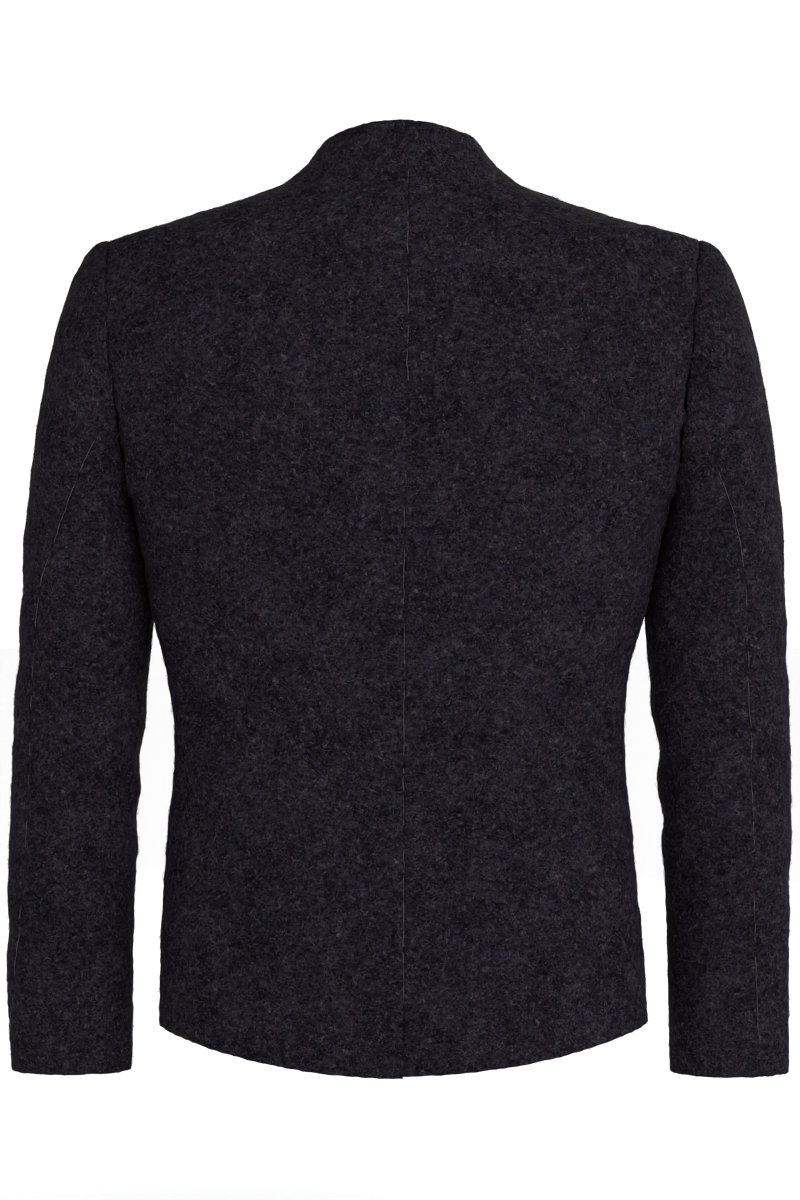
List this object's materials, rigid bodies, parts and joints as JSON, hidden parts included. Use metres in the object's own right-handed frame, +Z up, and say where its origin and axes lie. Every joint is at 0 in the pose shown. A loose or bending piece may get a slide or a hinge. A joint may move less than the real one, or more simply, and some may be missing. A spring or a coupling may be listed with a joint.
{
  "type": "tyrolean loden jacket",
  "caption": "Short boiled wool jacket with a standing collar cut in one, two-piece set-in sleeves, a centre back seam and a buttoned lapped front, hollow as worn.",
  "frame": {"origin": "nape, at the inside of the centre back seam where the standing collar starts", "axes": "+Z up, front of the jacket faces -Y, the wearer's left is +X"},
  "size_m": [0.6222, 0.2659, 0.7483],
  "materials": {
    "boiled_wool_loden": "dark charcoal melange boiled wool, matt and slightly fuzzy, raw edged",
    "horn_button": "dark brown polished horn"
  },
  "bodies": {
    "root": {"back_left": "boiled_wool_loden", "back_right": "boiled_wool_loden", "front_left": "boiled_wool_loden", "front_right": "boiled_wool_loden", "upper_sleeve_left": "boiled_wool_loden", "under_sleeve_left": "boiled_wool_loden", "upper_sleeve_right": "boiled_wool_loden", "under_sleeve_right": "boiled_wool_loden", "button_1": "horn_button", "button_2": "horn_button", "button_3": "horn_button", "button_4": "horn_button", "button_5": "horn_button"}
  },
  "joints": []
}
